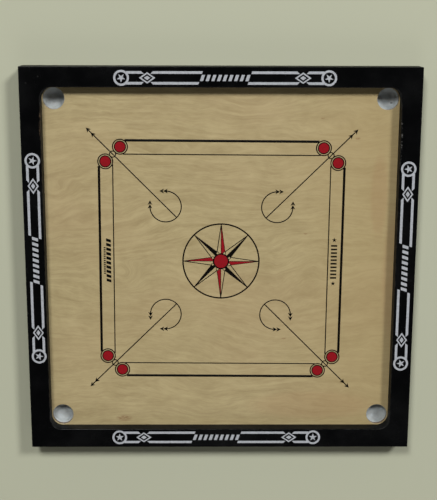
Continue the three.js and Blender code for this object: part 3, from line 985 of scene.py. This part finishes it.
sizes = {"Out": RING_OUT, "Radius": 15.8 * MM, "Width": 4.3 * MM, "Star": 9.2 * MM, "Film": level()}
frame_stamp("rings", end_rings, sizes)
sizes = {"Spacing": 21.4 * MM, "Width": 5.2 * MM, "Ring end": RING_OUT - 10 * MM,
         "Lozenge far": LOZENGE_OUT - 1.5 * MM, "Lozenge near": LOZENGE_OUT + 1.5 * MM,
         "Gap": 49.5 * MM, "Film": level(-1)}
frame_stamp("stripes", stripes, sizes)
sizes = {"Out": LOZENGE_OUT, "Half length": 16.5 * MM, "Half height": 11.4 * MM, "Film": level()}
frame_stamp("lozenges", lozenges, sizes)
sizes = {"Bar": 6.4 * MM, "Lean": 4.2 * MM, "Height": 12.4 * MM, "Film": level()}
frame_stamp("bars", slanted_bar, sizes, from_corner(row(9, 11.4 * MM, 0, PRINT_SHIFT, -RAIL_MIDDLE)))

# ----------------------------------------
# Pocket cups: white polypropylene mouldings, each a shallow bowl with a flange round its mouth. The
# flange is screwed to the panel's underside, and the panel's bore leaves the bowl open from above.
# ----------------------------------------
CUP_BOTTOM, CUP_TOP = cup_low.z, cup_high.z
FLANGE_RADIUS = (cup_high.x - cup_low.x) / 2
CUP_MOUTH = POCKET_RADIUS + 0.6 * MM
CUP_WALL = 2 * MM
CUP_DRAFT = 2.4 * MM
CUP_ROUND = 12 * MM


def arc(x, z, radius, start, end, steps=10):
    """Points round (x, z), from the start angle to the end angle, in degrees."""
    points = []
    for i in range(steps + 1):
        angle = math.radians(start + (end - start) * i / steps)
        points.append((x + radius * math.cos(angle), z + radius * math.sin(angle)))
    return points


def cup_profile():
    """From the middle of the cup's underside out, up, over the flange and back down inside the bowl."""
    ease = 0.5 * MM
    foot = 0.4 * MM
    floor = CUP_BOTTOM + CUP_WALL
    middle = CUP_MOUTH - CUP_DRAFT - CUP_ROUND
    under = CUP_TOP - CUP_WALL
    hollow = middle * 0.55  # radius of the shallow hollow inside the foot ring
    profile = [(0, CUP_BOTTOM + foot), (hollow, CUP_BOTTOM + foot), (hollow + foot, CUP_BOTTOM)]
    profile += arc(middle, floor + CUP_ROUND, CUP_ROUND + CUP_WALL, -90, -8)
    profile += arc(CUP_MOUTH + CUP_WALL + ease, under - ease, ease, 180, 90, 4)
    profile += arc(FLANGE_RADIUS - ease, under + ease, ease, -90, 0, 4)
    profile += arc(FLANGE_RADIUS - ease, CUP_TOP - ease, ease, 0, 90, 4)
    profile += arc(CUP_MOUTH + ease, CUP_TOP - ease, ease, 90, 172, 5)
    profile += arc(middle, floor + CUP_ROUND, CUP_ROUND, -8, -90)
    profile += [(0, floor)]
    return profile


def white_plastic():
    """Off-white moulding, grubby in the bowl, with the mark of a knock in one cup."""
    material, tree, shader, place = new_material("white_plastic")
    cloud = noise(tree, place, 40, 4, 0.6)
    colour = blend(tree, ramp(tree, cloud, 0.35, 0.7), (0.41, 0.44, 0.44), (0.33, 0.35, 0.345))
    low = ramp(tree, axes(tree, place)[2], CUP_BOTTOM + 2 * CUP_WALL, CUP_TOP, 1.0, 0.0)
    grime = ramp(tree, noise(tree, place, 160, 5, 0.65), 0.45, 0.75)
    colour = blend(tree, times(tree, times(tree, low, grime), 0.5), colour, (0.30, 0.30, 0.285))
    knock = (POCKET + 10 * MM, POCKET - 9.5 * MM, CUP_BOTTOM + CUP_WALL)
    mark = spot(tree, place, knock, (2.4 * MM, 1.4 * MM, 6 * MM), 1.3)
    colour = blend(tree, times(tree, mark, 0.85), colour, (0.03, 0.03, 0.032))
    surface(tree, shader, colour, ramp(tree, cloud, 0.3, 0.7, 0.46, 0.6))
    shader.inputs["Subsurface Weight"].default_value = 0.6
    shader.inputs["Subsurface Radius"].default_value = (1.0, 0.9, 0.8)
    shader.inputs["Subsurface Scale"].default_value = 8 * MM
    bump(tree, noise(tree, place, 900, 2), shader, 0.02 * MM, 0.4)
    return material


plastic = white_plastic()
for quarters, corner in enumerate(CORNERS):
    centre = quarter_turn(quarters) @ Vector((POCKET, -POCKET, 0))
    cup = lathe(f"moulded_cup_{corner}", cup_profile(), 96, centre)
    cut(cup, screw_cutters([n for n in CUP_SCREWS if corner in n]))
    fit(smooth(cup, 40), "white_plastic", plastic, f"pocket_cup_{corner}")

# ----------------------------------------
# Cleats and battens: planed softwood strips under the panel. The cleats are glued into the rebate along
# each rail. Two battens each way are halved where they cross and screwed up through the cleats.
# ----------------------------------------
STRIP_EASE = 0.6 * MM


def strip_from(node, name):
    """The node's own shape, merged into whole faces, with its sharp edges planed off."""
    strip = add_mesh(name, [], [])
    strip.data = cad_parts[node].data.copy()
    clean(strip)
    work = bmesh.new()
    work.from_mesh(strip.data)
    bmesh.ops.dissolve_limit(work, angle_limit=math.radians(1), verts=work.verts, edges=work.edges)
    work.to_mesh(strip.data)
    work.free()
    easing = strip.modifiers.new("ease", "BEVEL")
    easing.width = STRIP_EASE
    easing.segments = 2
    easing.limit_method = "ANGLE"
    easing.angle_limit = math.radians(50)
    return settle(strip)


def softwood(name, turn):
    """Pine with its growth rings along the strip: the pattern runs along X before it is turned."""
    material, tree, shader, place = new_material(name)
    turned = put(tree, "ShaderNodeMapping", {"Vector": place, "Rotation": (0, 0, turn)})
    bend = noise(tree, turned, (3, 12, 12), 2, 0.5, 0.3)
    _, across, height = axes(tree, turned)
    depth = times_plus(tree, bend, 0.05, plus(tree, across, height))
    wave = maths(tree, "SINE", times(tree, depth, 1500.0))
    late = ramp(tree, wave, 0.0, 1.0)
    fibre = noise(tree, turned, (22, 700, 700), 4, 0.6)
    colour = blend(tree, late, (0.55, 0.39, 0.21), (0.40, 0.245, 0.115))
    colour = blend(tree, ramp(tree, fibre, 0.45, 0.75, 0.0, 0.6), colour, (0.33, 0.2, 0.095))
    surface(tree, shader, colour, ramp(tree, fibre, 0.3, 0.7, 0.6, 0.82))
    saw = noise(tree, turned, (240, 3, 3), 2)
    ridges = plus(tree, fibre, times(tree, late, -0.4))
    relief = times_plus(tree, saw, 0.4, ridges)
    bump(tree, relief, shader, 0.15 * MM, 0.5)
    return material


pine_along_x = softwood("pine_along_x", 0.0)
pine_along_y = softwood("pine_along_y", math.pi / 2)
strips = [(f"cleat_{side}", (pine_along_x, pine_along_y)[i % 2]) for i, side in enumerate(SIDES)]
strips += [(f"long_batten_{side}", pine_along_x) for side in ("front", "back")]
strips += [(f"cross_batten_{side}", pine_along_y) for side in ("left", "right")]
for node, wood in strips:
    fit(smooth(strip_from(node, f"planed_{node}")), "raw_softwood", wood, node)

# ----------------------------------------
# Screws: zinc-plated steel with a domed head, a cross recess and a cut thread. Three hold each cup's
# flange to the panel, and one holds each end of a batten. They are driven from below.
# ----------------------------------------


def zinc():
    material, tree, shader, place = new_material("zinc_plate")
    cloud = noise(tree, place, 500, 4, 0.6)
    colour = blend(tree, ramp(tree, cloud, 0.35, 0.7), (0.60, 0.61, 0.63), (0.42, 0.43, 0.42))
    surface(tree, shader, colour, ramp(tree, cloud, 0.3, 0.7, 0.25, 0.45))
    shader.inputs["Metallic"].default_value = 1.0
    bump(tree, noise(tree, place, 1800, 2), shader, 0.01 * MM, 0.5)
    return material


def tapered(tree, bottom_radius, top_radius, start, end):
    """A round bar along Z, from the bottom's height to the top's."""
    inputs = {"Vertices": 24, "Radius Bottom": bottom_radius, "Radius Top": top_radius}
    inputs["Depth"] = minus(tree, end, start)
    bar = put(tree, "GeometryNodeMeshCone", inputs)
    return moved(tree, bar, z=start)


def screw(tree, size):
    """A screw driven up to its seat at the origin: the domed head hangs below, the point is above."""
    sink = 0.3 * MM  # how far the shank runs on into the head, and the point into the shank
    seat_gap = 0.02 * MM
    block_side = 20 * MM
    slot_width, slot_depth, slot_turn = 0.8 * MM, 2.4 * MM, 0.3
    slot_reach = 1.1  # as a share of the head's radius
    point_fit = 0.98  # the point's base, as a share of the shank that it starts in
    tip_radius = 0.05 * MM
    thread_start, thread_cut = 1.0 * MM, 1.2 * MM  # cut is what the thread is shorter than the shank by
    root, shank_end = size["Root radius"], size["Shank length"]
    ball = put(tree, "GeometryNodeMeshUVSphere", {"Segments": 32, "Rings": 16, "Radius": 1.0})
    scale = vector(tree, size["Head radius"], size["Head radius"], size["Head height"])
    dome = put(tree, "GeometryNodeTransform", {"Geometry": ball, "Scale": scale})
    head = node_of(tree, "GeometryNodeMeshBoolean", {"Mesh 1": dome}, operation="DIFFERENCE",
                   solver="EXACT")
    block = put(tree, "GeometryNodeMeshCube", {"Size": (block_side,) * 3})
    tree.links.new(moved(tree, block, z=block_side / 2 - seat_gap), head.inputs["Mesh 2"])
    across = times(tree, size["Head radius"], slot_reach)
    blade_size = vector(tree, across, slot_width, slot_depth)
    blade = put(tree, "GeometryNodeMeshCube", {"Size": blade_size})
    apex = times(tree, size["Head height"], -1.0)
    for turn in (slot_turn, slot_turn + math.pi / 2):
        tree.links.new(moved(tree, blade, z=apex, turn=turn), head.inputs["Mesh 2"])
    shank = tapered(tree, root, root, -sink, shank_end)
    point_base = minus(tree, shank_end, sink)
    point_end = plus(tree, shank_end, size["Point length"])
    point = tapered(tree, times(tree, root, point_fit), tip_radius, point_base, point_end)
    inputs = {"Resolution": 18, "Start Radius": root, "End Radius": root}
    inputs["Height"] = minus(tree, shank_end, thread_cut)
    inputs["Rotations"] = maths(tree, "DIVIDE", inputs["Height"], size["Pitch"])
    helix = put(tree, "GeometryNodeCurveSpiral", inputs)
    ridge = circle(tree, minus(tree, size["Crest radius"], root), 4)
    inputs = {"Curve": helix, "Profile Curve": ridge, "Fill Caps": True}
    thread = put(tree, "GeometryNodeCurveToMesh", inputs)
    return joined(tree, head.outputs[0], shank, point, moved(tree, thread, z=thread_start))


zinc_plate = zinc()
HEAD_HEIGHT = 2.0 * MM
POINT_LENGTH = 1.5 * MM
TURN_STEP = 0.7  # between one screw's slots and the next one's
for name, nodes in (("cup", CUP_SCREWS), ("batten", BATTEN_SCREWS)):
    low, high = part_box(nodes[0])
    seat = low.z + HEAD_HEIGHT
    sizes = {"Head radius": (high.y - low.y) / 2, "Head height": HEAD_HEIGHT, "Root radius": 1.15 * MM,
             "Crest radius": 1.5 * MM, "Pitch": 1.3 * MM, "Point length": POINT_LENGTH,
             "Shank length": high.z - seat - POINT_LENGTH}
    places = []
    for i, node in enumerate(nodes):
        centre = screw_place(node)[0]
        places.append((centre.x, centre.y, TURN_STEP * i))
    screws = stamp(f"{name}_screws", screw, sizes, places, "zinc_plated_steel", zinc_plate, seat, Vector(),
                   0.0, nodes)
    smooth(screws, 40)

# ----------------------------------------
# Studio: the board lies on a plain pale floor. Two soft lights stand high behind it, right and left, with
# a weak one low in front. The camera looks down on it from a little behind its middle.
# ----------------------------------------
FLOOR_HALF = 4.0
FLOOR_GAP = 0.1 * MM  # below the board
edges = ((-1, -1), (1, -1), (1, 1), (-1, 1))
floor = add_mesh("floor", [(x * FLOOR_HALF, y * FLOOR_HALF, -FLOOR_GAP) for x, y in edges], [(0, 1, 2, 3)])
floor_paint, _, floor_shader, _ = new_material("floor_paint")
floor_shader.inputs["Base Color"].default_value = (0.425, 0.435, 0.325, 1)
floor_shader.inputs["Roughness"].default_value = 0.9
floor.data.materials.append(floor_paint)

lights = (("right_light", (5.2, 5.4, 7.5), 2.2, 650),
          ("left_light", (-1.9, 5.4, 7.5), 2.2, 530),
          ("front_light", (0.3, -3.4, 3.0), 2.6, 22))
for name, place, size, power in lights:
    lamp = bpy.data.lights.new(name, "AREA")
    lamp.shape = "DISK"
    lamp.size = size
    lamp.energy = power
    holder = bpy.data.objects.new(name, lamp)
    holder.location = place
    holder.rotation_euler = (-Vector(place)).to_track_quat("-Z", "Y").to_euler()
    bpy.context.scene.collection.objects.link(holder)

world = bpy.data.worlds.new("studio")
bpy.context.scene.world = world
world.use_nodes = True
backdrop = world.node_tree.nodes["Background"]
sky = world.node_tree
rise = axes(sky, sky.nodes.new("ShaderNodeTexCoord").outputs["Generated"])[2]
horizon, zenith = (0.34, 0.325, 0.28), (0.012, 0.0125, 0.013)
sky.links.new(blend(sky, ramp(sky, rise, 0.15, 0.75), horizon, zenith), backdrop.inputs["Color"])
bpy.context.scene.view_settings.view_transform = "Standard"

camera = bpy.data.objects.new("camera", bpy.data.cameras.new("camera"))
camera.data.sensor_width = 36
camera.data.lens = 76.80
camera.location = (-0.0238, 0.5169, 2.2122)
camera.rotation_euler = (-0.2212, -0.0083, 0.0028)
bpy.context.scene.collection.objects.link(camera)
bpy.context.scene.camera = camera
